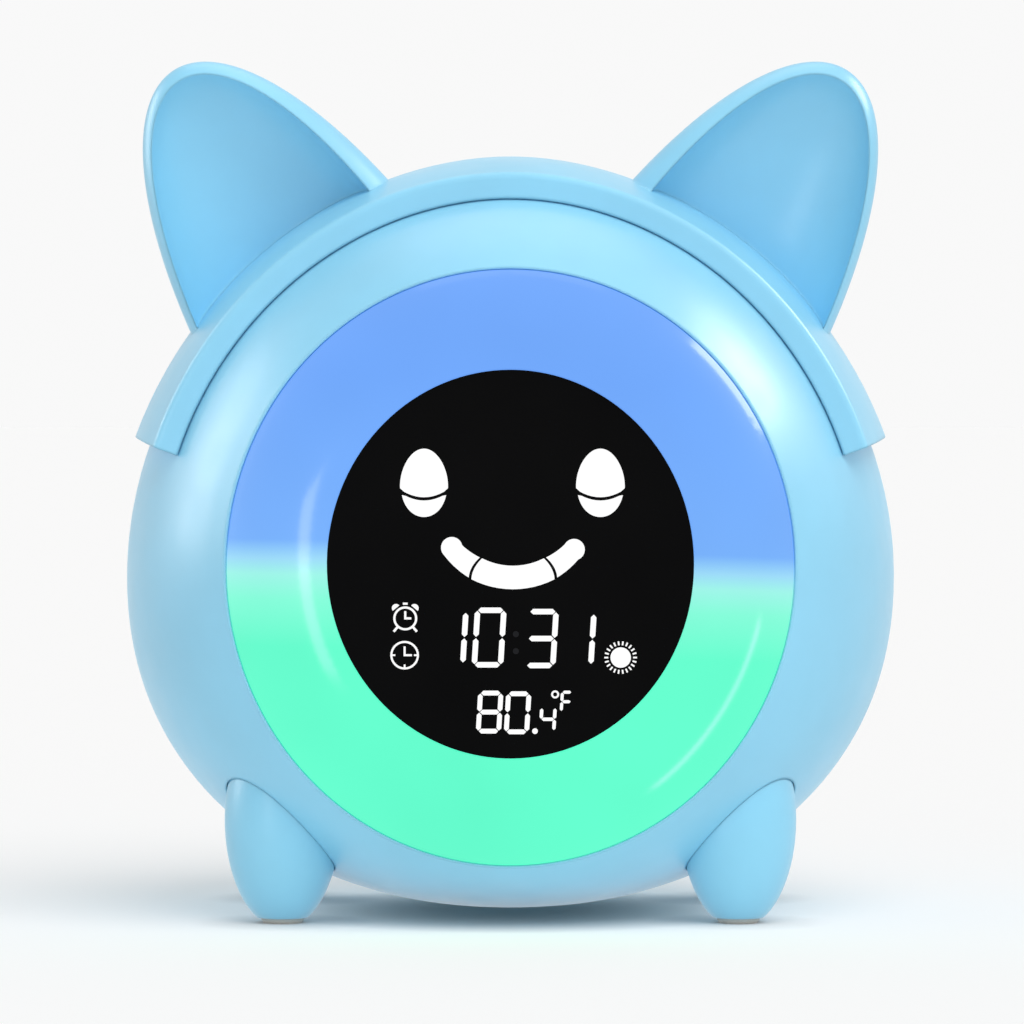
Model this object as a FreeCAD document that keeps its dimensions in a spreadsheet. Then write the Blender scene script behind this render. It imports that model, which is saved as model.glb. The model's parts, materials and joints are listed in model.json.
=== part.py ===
import FreeCAD, Part
import math
import os
import Sketcher
from FreeCAD import Placement, Rotation, Vector

# Round bedside alarm clock with a lamp ring, a cat-ear headband and four legs.
# +Z is up and the face looks along -Y. The origin is on the floor under the case seam.

DRIVING = (
    ("body_half_width", 59.0),
    ("body_top_rise", 61.3),
    ("body_bottom_drop", 50.9),
    ("body_centre_height", 52.1),
    ("outline_top_power", 1.92),
    ("outline_bottom_power", 2.2),
    ("front_depth", 38.0),
    ("front_side_reach", 54.6),
    ("front_height_reach", 51.0),
    ("front_side_power", 2.0),
    ("front_top_power", 2.4),
    ("front_bottom_power", 3.0),
    ("front_centre_lift", 1.8),
    ("back_depth", 46.0),
    ("back_side_reach", 54.1),
    ("back_top_reach", 52.9),
    ("back_bottom_reach", 54.3),
    ("back_side_power", 2.2),
    ("back_top_power", 2.3),
    ("back_bottom_power", 2.5),
    ("wall", 2.4),
    ("front_wall", 5.5),
    ("lamp_half_width", 41.9),
    ("lamp_half_height", 44.0),
    ("lamp_centre_height", 53.9),
    ("lamp_rise", 6.95),
    ("lamp_outer_slope", 46.0),
    ("lamp_inner_slope", 4.0),
    ("lamp_wall", 2.0),
    ("lamp_seat_depth", 3.5),
    ("display_half_width", 27.0),
    ("display_half_height", 28.6),
    ("display_centre_height", 54.6),
    ("display_dome_radius", 400.0),
    ("display_front", 45.6),
    ("window_back", 42.2),
    ("film_back", 41.8),
    ("fit_gap", 0.15),
    ("board_thickness", 1.6),
    ("front_board_face", 32.5),
    ("band_front", 25.0),
    ("band_back", 5.0),
    ("band_half_angle", 70.0),
    ("band_thickness", 2.5),
    ("band_front_thickness", 4.05),
    ("band_gap", 0.3),
    ("ear_half_length", 55.3),
    ("ear_half_width", 20.63),
    ("ear_half_depth", 10.0),
    ("ear_side", 21.54),
    ("ear_height", 81.96),
    ("ear_plane", 12.0),
    ("ear_lean", 32.3),
    ("scoop_half_length", 51.95),
    ("scoop_half_width", 17.95),
    ("scoop_half_depth", 12.5),
    ("scoop_side", 23.94),
    ("scoop_height", 82.83),
    ("scoop_plane", 16.6),
    ("scoop_lean", 30.7),
    ("peg_side", 16.0),
    ("peg_plane", 9.0),
    ("peg_radius", 1.95),
    ("peg_socket_radius", 2.0),
    ("peg_floor", 105.5),
    ("peg_length", 5.9),
    ("peg_cup_wall", 1.6),
    ("leg_side", 34.3),
    ("leg_front_plane", 22.0),
    ("leg_back_plane", 20.0),
    ("leg_radius", 8.7),
    ("leg_half_height", 16.4),
    ("leg_widest", 15.5),
    ("leg_bottom", 0.8),
    ("leg_top", 27.5),
    ("leg_gap", 0.15),
    ("pad_radius", 3.2),
    ("pad_recess", 0.9),
    ("saddle_thickness", 2.4),
    ("saddle_centre", 37.0),
    ("saddle_length", 26.0),
    ("saddle_width", 17.6),
    ("inner_trim", 0.4),
    ("screw_head_radius", 2.7),
    ("screw_head_height", 1.8),
    ("screw_radius", 1.45),
    ("screw_clear_radius", 1.7),
    ("screw_pilot_radius", 1.5),
    ("case_screw_length", 11.5),
    ("leg_screw_length", 7.5),
    ("boss_radius", 3.8),
    ("well_radius", 4.6),
    ("well_bore_radius", 3.2),
    ("upper_boss_side", 34.3),
    ("upper_boss_height", 86.4),
    ("lower_boss_side", 14.0),
    ("lower_boss_height", 10.5),
    ("small_screw_head_radius", 1.8),
    ("small_screw_head_height", 1.2),
    ("small_screw_radius", 0.95),
    ("small_screw_length", 3.4),
    ("small_pilot_radius", 1.0),
    ("back_centre_height", 54.0),
    ("back_board_radius", 36.0),
    ("back_board_back", 37.7),
    ("back_board_hole_radius", 11.0),
    ("back_board_screw_radius", 31.5),
    ("button_ring_radius", 24.0),
    ("button_radius", 3.8),
    ("button_hole_radius", 4.1),
    ("button_proud", 1.1),
    ("button_flange_radius", 4.8),
    ("button_flange_thickness", 1.0),
    ("button_base", 42.3),
    ("switch_base", 6.0),
    ("switch_base_height", 2.8),
    ("switch_tip_radius", 1.75),
    ("switch_tip_end", 41.2),
    ("grille_radius", 1.2),
    ("grille_pitch", 4.3),
    ("speaker_radius", 14.0),
    ("speaker_rib_wall", 1.5),
    ("clamp_radius", 15.5),
    ("clamp_front", 41.2),
    ("clamp_back", 42.4),
    ("clamp_opening_radius", 12.8),
    ("clamp_screw_radius", 17.6),
    ("clamp_lug_radius", 2.6),
    ("clamp_post_radius", 2.2),
    ("board_post_radius", 2.6),
    ("lower_row_drop", 22.0),
    ("socket_side", -9.0),
    ("socket_half_length", 4.47),
    ("socket_half_height", 1.63),
    ("knob_side", 9.0),
    ("knob_travel", 4.0),
    ("knob_length", 4.0),
    ("knob_height", 3.0),
    ("knob_flange_length", 13.2),
    ("knob_flange_height", 5.6),
    ("knob_end", 46.8),
    ("knob_leg_length", 2.0),
    ("switch_channel_front", 39.2),
    ("tray_length", 44.0),
    ("tray_width", 29.0),
    ("tray_height", 5.0),
    ("tray_wall", 1.5),
    ("tray_floor", 1.4),
    ("tray_front", 2.6),
    ("cell_length", 40.4),
    ("cell_width", 25.4),
    ("cell_height", 8.0),
    ("cell_edge_radius", 3.2),
)

doc = FreeCAD.newDocument("NightLightClock")
sizes = doc.addObject("Spreadsheet::Sheet", "sizes")
for row, (alias, value) in enumerate(DRIVING, 1):
    sizes.set(f"A{row}", alias.replace("_", " "))
    sizes.set(f"B{row}", str(value))
    sizes.setAlias(f"B{row}", alias)
doc.recompute()

parts = []


def size(alias):
    return float(sizes.get(alias))


def bind(item, **expressions):
    """Binds properties of a document object to expressions; x, y and z are its place."""
    for name, expression in expressions.items():
        path = "Placement.Base." + name if name in "xyz" else name
        item.setExpression(path, expression)
    return item


def solid(kind, name, rotation=None, **expressions):
    """A Part primitive with its sizes and place bound to the sheet."""
    item = doc.addObject("Part::" + kind, name)
    if rotation is not None:
        item.Placement = Placement(Vector(), rotation)
    return bind(item, **expressions)


def feature(name, shape):
    item = doc.addObject("Part::Feature", name)
    item.Shape = shape
    return item


def fuse(name, items):
    item = doc.addObject("Part::MultiFuse", name)
    item.Shapes = items
    return item


def common(name, items):
    item = doc.addObject("Part::MultiCommon", name)
    item.Shapes = items
    return item


def cut(name, base, tools):
    item = doc.addObject("Part::Cut", name)
    item.Base = base
    item.Tool = tools[0] if len(tools) == 1 else fuse(name + "_tools", tools)
    return item


def join(name, items):
    """Fuses pieces one after another, which curved shells need."""
    whole = items[0]
    for index, item in enumerate(items[1:], 1):
        step = doc.addObject("Part::Fuse", f"{name}_{index}")
        step.Base = whole
        step.Tool = item
        whole = step
    return whole


def group(name, items):
    """Several equal pieces kept as separate solids of one node."""
    item = doc.addObject("Part::Compound", name)
    item.Links = items
    return item


def keep(item, label):
    """Marks the object that is one sub-part of the clock."""
    item.Label = label
    parts.append(item)
    return item


BACKWARD = Rotation(Vector(1, 0, 0), -90)
FORWARD = Rotation(Vector(1, 0, 0), 90)
UPRIGHT = Rotation()


def origin_plane(body, role):
    return next(item for item in body.Origin.OriginFeatures if item.Role == role)


def outline_sketch(body, name, role, corners):
    """A closed sketch whose corners are held at expressions of the sheet."""
    sketch = body.newObject("Sketcher::SketchObject", name)
    sketch.AttachmentSupport = (origin_plane(body, role), "")
    sketch.MapMode = "FlatFace"
    values = [(evaluate(u), evaluate(v)) for u, v in corners]
    for index, start in enumerate(values):
        end = values[(index + 1) % len(values)]
        sketch.addGeometry(Part.LineSegment(Vector(*start, 0), Vector(*end, 0)), False)
    for index in range(len(values)):
        following = (index + 1) % len(values)
        sketch.addConstraint(Sketcher.Constraint("Coincident", index, 2, following, 1))
    for index, (u, v) in enumerate(corners):
        hold_corner(sketch, index, "DistanceX", u, values[index][0], -2)
        hold_corner(sketch, index, "DistanceY", v, values[index][1], -1)
    return sketch


def hold_corner(sketch, index, kind, expression, value, axis):
    if abs(value) < 1e-9:
        sketch.addConstraint(Sketcher.Constraint("PointOnObject", index, 1, axis))
        return
    number = sketch.addConstraint(Sketcher.Constraint(kind, -1, 1, index, 1, value))
    sketch.setExpression(f"Constraints[{number}]", expression)


def evaluate(expression):
    return float(sizes.evalExpression(expression.replace("sizes.", "")))


def turned(name, corners, rotation=UPRIGHT, **place):
    """A body turned about its own Z axis from (radius, height) corners."""
    body = doc.addObject("PartDesign::Body", name)
    sketch = outline_sketch(body, name + "_profile", "XZ_Plane", corners)
    turn = body.newObject("PartDesign::Revolution", name + "_turn")
    turn.Profile = sketch
    turn.ReferenceAxis = (sketch, ["V_Axis"])
    turn.Angle = 360
    body.Placement = Placement(Vector(), rotation)
    return bind(body, **place)


# The case outline: superellipse sections across Y, all from the sheet.


def falloff(depth, reach, power):
    return (1 - (abs(depth) / reach) ** power) ** (1 / power)


def case_section(depth, inset=0.0, grow=0.0):
    """One closed section of the case at a depth, moved in by a wall or out by a growth."""
    lift = size("front_centre_lift") * (depth / size("front_depth")) ** 2
    side = "front_side" if depth <= 0 else "back_side"
    top = ("front_height_reach", "front_top_power") if depth <= 0 else ("back_top_reach", "back_top_power")
    bottom = ("front_height_reach", "front_bottom_power")
    if depth > 0:
        bottom = ("back_bottom_reach", "back_bottom_power")
    half_width = (size("body_half_width") - inset) * falloff(
        depth, size(side + "_reach") - inset, size(side + "_power"))
    rise = (size("body_top_rise") - inset) * falloff(depth, size(top[0]) - inset, size(top[1]))
    drop = (size("body_bottom_drop") - inset) * falloff(depth, size(bottom[0]) - inset, size(bottom[1]))
    centre = Vector(0, depth, size("body_centre_height") + lift)
    fade = 0.08 * min(1.0, abs(depth) / size("front_depth")) ** 2
    powers = (size("outline_top_power") + fade, size("outline_bottom_power") - 2.5 * fade)
    return oval(centre, half_width + grow, (rise - lift + grow, drop + lift + grow), powers)


def oval(centre, half_width, reaches, powers, count=20):
    """A closed curve through a superellipse with unlike upper and lower halves."""
    points = []
    for step in range(count):
        turn = 2 * math.pi * step / count
        across = math.cos(turn)
        along = math.sin(turn)
        upper = 0 if along >= 0 else 1
        power = powers[upper]
        measure = (abs(across) / half_width) ** power + (abs(along) / reaches[upper]) ** power
        radius = measure ** (-1 / power)
        points.append(centre + Vector(radius * across, 0, radius * along))
    curve = Part.BSplineCurve()
    curve.interpolate(Points=points, PeriodicFlag=True)
    return Part.Wire(curve.toShape())


def spread(start, end, count):
    return [start + (end - start) * step / (count - 1) for step in range(count)]


def eased(start, end, count):
    """Depths that crowd towards the end, where the case curves most."""
    return [start + (end - start) * math.sin(math.pi / 2 * step / (count - 1)) for step in range(count)]


def case_loft(depths, inset=0.0, grow=0.0, ruled=False):
    return Part.makeLoft([case_section(depth, inset, grow) for depth in depths], True, ruled)


def ellipse_face(half_width, half_height, height, depth):
    centre = Vector(0, depth, height)
    curve = Part.Ellipse(centre + Vector(0, 0, half_height), centre + Vector(half_width, 0, 0), centre)
    return Part.Face(Part.Wire(curve.toShape()))


def oval_plug(half_width, half_height, height, front, back):
    """An elliptical cylinder along Y between two depths."""
    return ellipse_face(half_width, half_height, height, front).extrude(Vector(0, back - front, 0))


wall = size("wall")
front_edge = -size("front_depth")
back_face = size("back_depth")
back_inner = back_face - wall

# Bosses and legs sit at these places in both half shells.

BOSSES = (
    ("upper_left", "-sizes.upper_boss_side", "sizes.upper_boss_height"),
    ("upper_right", "sizes.upper_boss_side", "sizes.upper_boss_height"),
    ("lower_left", "-sizes.lower_boss_side", "sizes.lower_boss_height"),
    ("lower_right", "sizes.lower_boss_side", "sizes.lower_boss_height"),
)
LEGS = (
    ("front_left", "-sizes.leg_side", "-sizes.leg_front_plane"),
    ("front_right", "sizes.leg_side", "-sizes.leg_front_plane"),
    ("back_left", "-sizes.leg_side", "sizes.leg_back_plane"),
    ("back_right", "sizes.leg_side", "sizes.leg_back_plane"),
)


def leg_cutters(half):
    """The holes in a half shell that the two legs pass through."""
    cutters = []
    for place, x, y in LEGS:
        if not place.startswith(half):
            continue
        egg = solid("Ellipsoid", f"leg_opening_{place}", x=x, y=y, z="sizes.leg_widest",
                    Radius1="sizes.leg_half_height + sizes.leg_gap",
                    Radius2="sizes.leg_radius + sizes.leg_gap",
                    Radius3="sizes.leg_radius + sizes.leg_gap")
        cutters.append(egg)
    return cutters


def leg_saddles(half, inside):
    """The inner shelves that the legs are screwed to, trimmed to end in the case wall."""
    saddles = []
    for place, x, y in LEGS:
        if not place.startswith(half):
            continue
        side = -1 if place.endswith("left") else 1
        shelf = solid("Box", f"shelf_{place}", Length="sizes.saddle_length", Width="sizes.saddle_width",
                      Height="sizes.saddle_thickness", y=f"{y} - sizes.saddle_width / 2",
                      x=f"{side} * sizes.saddle_centre - sizes.saddle_length / 2", z="sizes.leg_top")
        trimmed = common(f"shelf_trimmed_{place}", [shelf, inside])
        hole = solid("Cylinder", f"shelf_hole_{place}", Radius="sizes.screw_clear_radius",
                     Height="3 * sizes.saddle_thickness", x=x, y=y,
                     z="sizes.leg_top - sizes.saddle_thickness")
        saddles.append(cut(f"saddle_{place}", trimmed, [hole]))
    return saddles


def rod_along_y(name, radius, x, z, front, back):
    """A cylinder along Y, its radius and ends given as expressions."""
    return solid("Cylinder", name, BACKWARD, Radius=radius, Height=f"{back} - ({front})",
                 x=x, y=front, z=z)


def box_at(name, x, y, z, length, width, height):
    """A box centred on x and z that starts at y."""
    return solid("Box", name, Length=length, Width=width, Height=height,
                 x=f"{x} - ({length}) / 2", y=y, z=f"{z} - ({height}) / 2")


SCREWS_FRONT = [(turn, 41.0, 43.1) for turn in (45, 135, 225, 315)]


def front_board_screw_places():
    """Screw places on the front board: on an ellipse just outside the lamp's opening."""
    places = []
    for turn, half_width, half_height in SCREWS_FRONT:
        angle = math.radians(turn)
        places.append((half_width * math.cos(angle),
                       size("lamp_centre_height") + half_height * math.sin(angle)))
    return places


def peg_sockets():
    """Blind sockets in the top of the case for the headband's pegs."""
    return [solid("Cylinder", f"peg_socket_{side}", Radius="sizes.peg_socket_radius", Height="20",
                  x=f"{sign} * sizes.peg_side", y="-sizes.peg_plane", z="sizes.peg_floor")
            for side, sign in (("left", -1), ("right", 1))]


def seam_slab(inset, front, back):
    """A slab across the seam with the case outline moved in."""
    section = case_section(0.0, inset)
    section.translate(Vector(0, front, 0))
    return Part.Face(section).extrude(Vector(0, back - front, 0))


def seam_tongue():
    """The lip inside the seam: a foot in the front wall and a tongue into the back shell."""
    foot = seam_slab(wall - 0.5, -3.0, -1.4)
    lip = seam_slab(wall + 0.3, -2.0, 2.4)
    room = seam_slab(wall + 1.5, -4.0, 4.0)
    for _, x, z in BOSSES:
        start = Vector(evaluate(x), 0, evaluate(z))
        room = room.fuse(Part.makeCylinder(size("well_radius") + 0.3, 8.0, start, Vector(0, 1, 0)))
    return foot.fuse(lip).cut(room)


def front_shell():
    """Front half shell with the lamp seat, screw bosses, peg sockets and leg openings."""
    case = feature("front_case", case_loft(spread(front_edge, 0, 6)))
    cavity = feature("front_cavity", case_loft(
        spread(front_edge + size("front_wall"), 0, 6), inset=wall, ruled=True))
    seat_back = front_edge + size("lamp_seat_depth")
    half_width = size("lamp_half_width") + size("fit_gap")
    half_height = size("lamp_half_height") + size("fit_gap")
    height = size("lamp_centre_height")
    seat = feature("lamp_seat", oval_plug(half_width, half_height, height, front_edge - 1, seat_back))
    window = feature("lamp_opening", oval_plug(
        half_width - 2.5, half_height - 2.5, height, front_edge - 1, -size("front_depth") + 8))
    sockets = peg_sockets()
    hollow = cut("front_hollow", case, [cavity, seat, window] + leg_cutters("front"))
    posts = [rod_along_y(f"boss_{place}", "sizes.boss_radius", x, z, "-sizes.front_depth", "0")
             for place, x, z in BOSSES]
    cups = [solid("Cylinder", f"peg_cup_{side}", Height="12", z="sizes.peg_floor - 2",
                  Radius="sizes.peg_socket_radius + sizes.peg_cup_wall",
                  x=f"{sign} * sizes.peg_side", y="-sizes.peg_plane")
            for side, sign in (("left", -1), ("right", 1))]
    reach = feature("front_reach", case_loft(spread(front_edge, 0, 5), inset=size("inner_trim")))
    inside = cut("front_inner", reach, [feature("board_space", oval_plug(
        half_width + 1.2, half_height + 1.2, height, front_edge - 1, -29.0))])
    posts = common("front_posts", [fuse("front_posts_all", posts + cups), inside])
    tongue = feature("tongue", seam_tongue())
    body = join("front_body", [hollow, posts, tongue] + leg_saddles("front", reach))
    pilots = [rod_along_y(f"pilot_{place}", "sizes.screw_pilot_radius", x, z, "-14", "2")
              for place, x, z in BOSSES]
    board_pilots = [rod_along_y(f"board_pilot_{index}", "sizes.small_pilot_radius",
                                str(x), str(z), "-34.4", "-30")
                    for index, (x, z) in enumerate(front_board_screw_places())]
    return keep(cut("front_shell_body", body, pilots + board_pilots + sockets), "front_shell")


def button_places():
    """Six buttons on an arc over the speaker: name, x and z."""
    names = ("light", "sound", "down", "up", "alarm", "set")
    places = []
    for step, name in enumerate(names):
        turn = f"{15 + 30 * step} deg"
        places.append((name, f"sizes.button_ring_radius * cos({turn})",
                       f"sizes.back_centre_height + sizes.button_ring_radius * sin({turn})"))
    return places


ROW_HEIGHT = "(sizes.back_centre_height - sizes.lower_row_drop)"


def slot_body(name, radius, half_length, length, inner=None, **place):
    """A rounded bar along Y: a stadium sketch padded, and pocketed again if it is a shell."""
    body = doc.addObject("PartDesign::Body", name)
    for step, (grow, depth) in enumerate([("0", length)] + ([inner] if inner else [])):
        sketch = body.newObject("Sketcher::SketchObject", f"{name}_outline_{step}")
        sketch.AttachmentSupport = (origin_plane(body, "XZ_Plane"), "")
        sketch.MapMode = "FlatFace"
        bow = evaluate(radius) + evaluate(grow)
        reach = evaluate(half_length) - evaluate(radius)
        top = sketch.addGeometry(Part.LineSegment(Vector(-reach, bow, 0), Vector(reach, bow, 0)), False)
        right = sketch.addGeometry(Part.ArcOfCircle(
            Part.Circle(Vector(reach, 0, 0), Vector(0, 0, 1), bow), -math.pi / 2, math.pi / 2), False)
        low = sketch.addGeometry(Part.LineSegment(Vector(reach, -bow, 0), Vector(-reach, -bow, 0)), False)
        left = sketch.addGeometry(Part.ArcOfCircle(
            Part.Circle(Vector(-reach, 0, 0), Vector(0, 0, 1), bow), math.pi / 2, 3 * math.pi / 2), False)
        for first, end, second, start in ((top, 2, right, 2), (low, 1, right, 1),
                                          (low, 2, left, 2), (top, 1, left, 1)):
            sketch.addConstraint(Sketcher.Constraint("Tangent", first, end, second, start))
        sketch.addConstraint(Sketcher.Constraint("Symmetric", right, 3, left, 3, -1, 1))
        sketch.addConstraint(Sketcher.Constraint("PointOnObject", right, 3, -1))
        width = sketch.addConstraint(Sketcher.Constraint("Radius", right, bow))
        span = sketch.addConstraint(Sketcher.Constraint("DistanceX", -1, 1, right, 3, reach))
        sketch.setExpression(f"Constraints[{width}]", f"{radius} + {grow}")
        sketch.setExpression(f"Constraints[{span}]", f"{half_length} - {radius}")
        kind = "PartDesign::Pad" if step == 0 else "PartDesign::Pocket"
        op = body.newObject(kind, f"{name}_step_{step}")
        op.Profile = sketch
        op.setExpression("Length", depth)
        op.Reversed = step == 0
    return bind(body, **place)


def rear_shell():
    """Back half shell with screw wells, leg openings, button holes, grille and socket slot."""
    case = feature("back_case_blank", case_loft(eased(0, back_face, 8)))
    rounded = case.Shape.makeFillet(3.0, [edge for edge in case.Shape.Edges
                                          if edge.BoundBox.YMin > back_face - 0.1])
    case.Shape = rounded
    cavity = feature("back_cavity", case_loft(eased(0, back_inner, 6), inset=wall, ruled=True))
    hollow = cut("back_hollow", case, [cavity] + leg_cutters("back"))
    wells = [rod_along_y(f"well_{place}", "sizes.well_radius", x, z, "0", "60") for place, x, z in BOSSES]
    middle = ("0", "sizes.back_centre_height")
    rib = cut("speaker_rib",
              rod_along_y("speaker_rib_outer", "sizes.speaker_radius + sizes.speaker_rib_wall", *middle,
                          "sizes.clamp_back", "44.5"),
              [rod_along_y("speaker_rib_inner", "sizes.speaker_radius + 0.2", *middle, "42", "43.6")])
    posts = [rod_along_y(f"board_post_{index}", "sizes.board_post_radius", x, z,
                         "sizes.back_board_back", "44.5")
             for index, (x, z) in enumerate(back_board_screws())]
    lugs = [rod_along_y(f"clamp_post_{index}", "sizes.clamp_post_radius", x, z, "sizes.clamp_back", "44.5")
            for index, (x, z) in enumerate(clamp_screws())]
    inner = common("back_inner_forms", [fuse("back_forms", wells + [rib] + posts + lugs), case])
    reach = feature("back_reach", case_loft(eased(0, back_inner, 6), inset=size("inner_trim")))
    body = join("back_body", [hollow, inner] + leg_saddles("back", reach))
    holes = [rod_along_y(f"well_bore_{place}", "sizes.well_bore_radius", x, z, "3", "70")
             for place, x, z in BOSSES]
    holes += [rod_along_y(f"well_hole_{place}", "sizes.screw_clear_radius", x, z, "0", "5")
              for place, x, z in BOSSES]
    holes += [rod_along_y(f"button_hole_{name}", "sizes.button_hole_radius", x, z, "43", "50")
              for name, x, z in button_places()]
    holes += [rod_along_y(f"grille_hole_{index}", "sizes.grille_radius", x, z, "43", "50")
              for index, (x, z) in enumerate(grille_places())]
    holes += [rod_along_y(f"post_pilot_{index}", "sizes.small_pilot_radius", x, z, "30", "42")
              for index, (x, z) in enumerate(back_board_screws())]
    holes += [rod_along_y(f"clamp_pilot_{index}", "sizes.small_pilot_radius", x, z, "40", "44.9")
              for index, (x, z) in enumerate(clamp_screws())]
    holes.append(slot_body("socket_slot", "sizes.socket_half_height + 0.3", "sizes.socket_half_length + 0.3",
                           "10", x="sizes.socket_side", y="41", z=ROW_HEIGHT))
    holes.append(box_at("knob_slot", "sizes.knob_side", "41", ROW_HEIGHT,
                        "sizes.knob_length + sizes.knob_travel + 0.6", "10", "sizes.knob_height + 0.6"))
    return keep(cut("rear_shell_body", body, holes), "rear_shell")


def polar(radius, degrees):
    return (f"{radius} * cos({degrees} deg)", f"sizes.back_centre_height + {radius} * sin({degrees} deg)")


def back_board_screws():
    return [polar("sizes.back_board_screw_radius", degrees) for degrees in (0, 90, 180, 270)]


def clamp_screws():
    return [polar("sizes.clamp_screw_radius", degrees) for degrees in (90, 210, 330)]


def grille_places():
    places = [("0", "sizes.back_centre_height")]
    for ring in (1, 2):
        for step in range(6 * ring):
            places.append(polar(f"{ring} * sizes.grille_pitch", 60 * step / ring))
    return places


def lamp_dome(shrink, shift):
    """The lamp ring's outer dome from its rim to the display, moved in and back."""
    start = math.radians(size("lamp_outer_slope"))
    end = math.radians(size("lamp_inner_slope"))
    wires = []
    for slope in spread(start, end, 6):
        across = (math.sin(slope) - math.sin(end)) / (math.sin(start) - math.sin(end))
        rise = (math.cos(slope) - math.cos(start)) / (math.cos(end) - math.cos(start))
        half_width = blend("display_half_width", "lamp_half_width", across) - shrink
        half_height = blend("display_half_height", "lamp_half_height", across) - shrink
        height = blend("display_centre_height", "lamp_centre_height", across)
        depth = front_edge + shift - size("lamp_rise") * rise
        wires.append(ellipse_face(half_width, half_height, height, depth).OuterWire)
    return Part.makeLoft(wires, True)


def blend(inner, outer, share):
    return size(inner) + (size(outer) - size(inner)) * share


def diffuser_ring():
    """Milky lamp ring: a domed shell with a rim, and a collar that seats the display."""
    rim_back = front_edge + size("lamp_seat_depth") - 0.05
    lamp = (size("lamp_half_width"), size("lamp_half_height"), size("lamp_centre_height"))
    face = (size("display_half_width"), size("display_half_height"), size("display_centre_height"))
    outer = lamp_dome(0, 0).fuse(oval_plug(*lamp, front_edge, rim_back))
    shrink = 0.7 * size("lamp_wall")
    inner = lamp_dome(shrink, size("lamp_wall")).fuse(
        oval_plug(lamp[0] - shrink, lamp[1] - shrink, lamp[2], front_edge + size("lamp_wall"), rim_back + 1))
    collar = oval_plug(face[0] + 2, face[1] + 2, face[2], -43.6, -size("film_back") + 1.5)
    seat = oval_plug(face[0] + 0.1, face[1] + 0.1, face[2], -50, -size("film_back"))
    opening = oval_plug(face[0] - 2.4, face[1] - 2.4, face[2], -50, -30)
    ring = outer.cut(inner).fuse(collar).cut(seat.fuse(opening))
    return keep(feature("diffuser_ring_body", ring), "diffuser_ring")


def display_window():
    """Smoked display disc with a slightly domed front."""
    blank = feature("window_blank", oval_plug(
        size("display_half_width") - 0.1, size("display_half_height") - 0.1,
        size("display_centre_height"), -size("display_front") - 1, -size("window_back")))
    dome = solid("Sphere", "window_dome", Radius="sizes.display_dome_radius",
                 y="sizes.display_dome_radius - sizes.display_front", z="sizes.display_centre_height")
    return keep(common("display_window_body", [blank, dome]), "display_window")


def segment_film():
    """Printed film behind the window."""
    film = oval_plug(size("display_half_width") - 0.2, size("display_half_height") - 0.2,
                     size("display_centre_height"), -size("window_back"), -size("film_back"))
    return keep(feature("segment_film_body", film), "segment_film")


LIGHT_CELLS = (
    ("left_eye", -12.9, 66.5, 7.4, 10.4),
    ("right_eye", 13.2, 66.5, 7.4, 10.4),
    ("smile", 0.3, 53.6, 19.0, 7.0),
    ("first_digit", -7.0, 43.6, 2.6, 9.0),
    ("second_digit", -3.0, 43.6, 4.6, 9.0),
    ("third_digit", 4.7, 43.6, 5.4, 9.0),
    ("fourth_digit", 12.0, 43.6, 2.6, 9.0),
    ("alarm_icon", -15.5, 46.7, 4.4, 4.4),
    ("clock_icon", -15.6, 41.2, 4.4, 4.4),
    ("sun_icon", 16.2, 40.8, 4.6, 4.6),
    ("temperature", 2.1, 32.8, 14.6, 6.6),
)


def light_guide():
    """Black block behind the film with one light cell for each lit sign."""
    block = feature("guide_block", oval_plug(
        size("display_half_width") - 2.6, size("display_half_height") - 2.6,
        size("display_centre_height"), -size("film_back") + 0.1, -size("front_board_face")))
    cells = [box_at(f"cell_{name}", str(x), "-42", str(z), str(length), "8", str(height))
             for name, x, z, length, height in LIGHT_CELLS]
    return keep(cut("light_guide_body", block, cells), "light_guide")


def light_baffle():
    """White tube that keeps the ring light off the display."""
    lamp = (size("display_centre_height"), -41.4, -size("front_board_face"))
    tube = oval_plug(30.8, 32.4, *lamp).cut(oval_plug(29.6, 31.2, *lamp))
    return keep(feature("light_baffle_body", tube), "light_baffle")


def front_board():
    """Board that carries the display block and the ring of lamps."""
    face = -size("front_board_face")
    plate = feature("front_board_plate", oval_plug(
        42.4, 44.5, size("lamp_centre_height"), face, face + size("board_thickness")))
    holes = [rod_along_y(f"front_board_hole_{index}", "sizes.small_pilot_radius + 0.1",
                         str(x), str(z), "-34", "-29")
             for index, (x, z) in enumerate(front_board_screw_places())]
    return keep(cut("front_board_body", plate, holes), "front_board")


def ring_leds():
    """Sixteen square lamps on an oval between the baffle and the rim."""
    lamps = []
    for step in range(16):
        turn = math.radians(22.5 * step)
        lamps.append(solid("Box", f"ring_led_{step}", Length="3.4", Width="1.4", Height="3.4",
                           x=str(34.6 * math.cos(turn) - 1.7), y="-sizes.front_board_face - 1.4",
                           z=f"sizes.lamp_centre_height + {36.6 * math.sin(turn)} - 1.7"))
    return keep(group("ring_leds_group", lamps), "ring_leds")


def wedge(half_angle, reach):
    """A wedge about the Y axis, open upwards, that bounds the headband's ends."""
    centre = Vector(0, -reach, size("body_centre_height"))
    turn = math.radians(half_angle)
    low = Vector(reach * math.sin(turn), 0, reach * math.cos(turn))
    corners = [centre, centre + low, centre + Vector(reach, 0, reach),
               centre + Vector(-reach, 0, reach), centre + Vector(-low.x, 0, low.z), centre]
    return Part.Face(Part.makePolygon(corners)).extrude(Vector(0, 2 * reach, 0))


def band_section(depth):
    extra = size("band_front_thickness") - size("band_thickness")
    share = max(0.0, -depth) / size("band_front")
    return case_section(depth, grow=size("band_thickness") + extra * share ** 2)


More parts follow.
